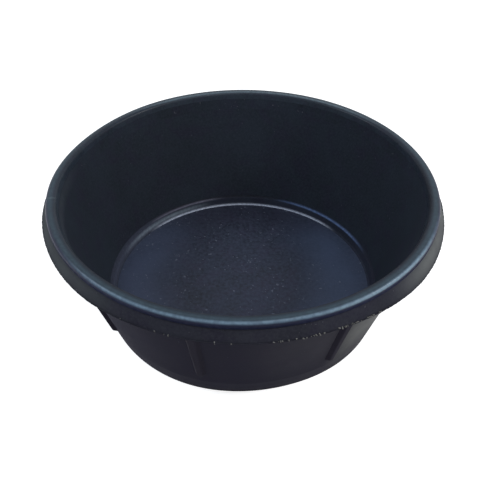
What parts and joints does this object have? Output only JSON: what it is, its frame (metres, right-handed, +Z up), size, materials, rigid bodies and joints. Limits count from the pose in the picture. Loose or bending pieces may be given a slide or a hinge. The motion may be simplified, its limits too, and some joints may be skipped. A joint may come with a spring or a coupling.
{
  "type": "rubber feed tub",
  "caption": "Round black rubber feed tub with a tapered, ribbed wall, a flared skirted rim, a steep heel round its flat floor and a ring foot.",
  "frame": {"origin": "centre of the foot, on the surface that the tub stands on", "axes": "+Z up along the tub's axis, -Y towards the front, +X to the right seen from the front"},
  "size_m": [0.4215, 0.4216, 0.15],
  "materials": {
    "floor_rubber": "matt grained black rubber with a faint blue bloom",
    "heel_rubber": "satin black rubber, polished by the mould",
    "wall_rubber": "matt black rubber, smooth as moulded",
    "outer_rubber": "matt black rubber with a light dust",
    "rim_rubber": "satin black rubber, rubbed smooth",
    "rib_rubber": "satin black rubber",
    "flash_rubber": "torn grey-black rubber"
  },
  "bodies": {
    "root": {"floor_disc": "floor_rubber", "foot_ring": "outer_rubber", "heel_ring": "heel_rubber", "side_wall": "wall_rubber", "skirt_band": "outer_rubber", "rim_bead": "rim_rubber", "parting_flash": "flash_rubber", "rib_1": "rib_rubber", "rib_2": "rib_rubber", "rib_3": "rib_rubber", "rib_4": "rib_rubber", "rib_5": "rib_rubber", "rib_6": "rib_rubber", "rib_7": "rib_rubber", "rib_8": "rib_rubber"}
  },
  "joints": []
}
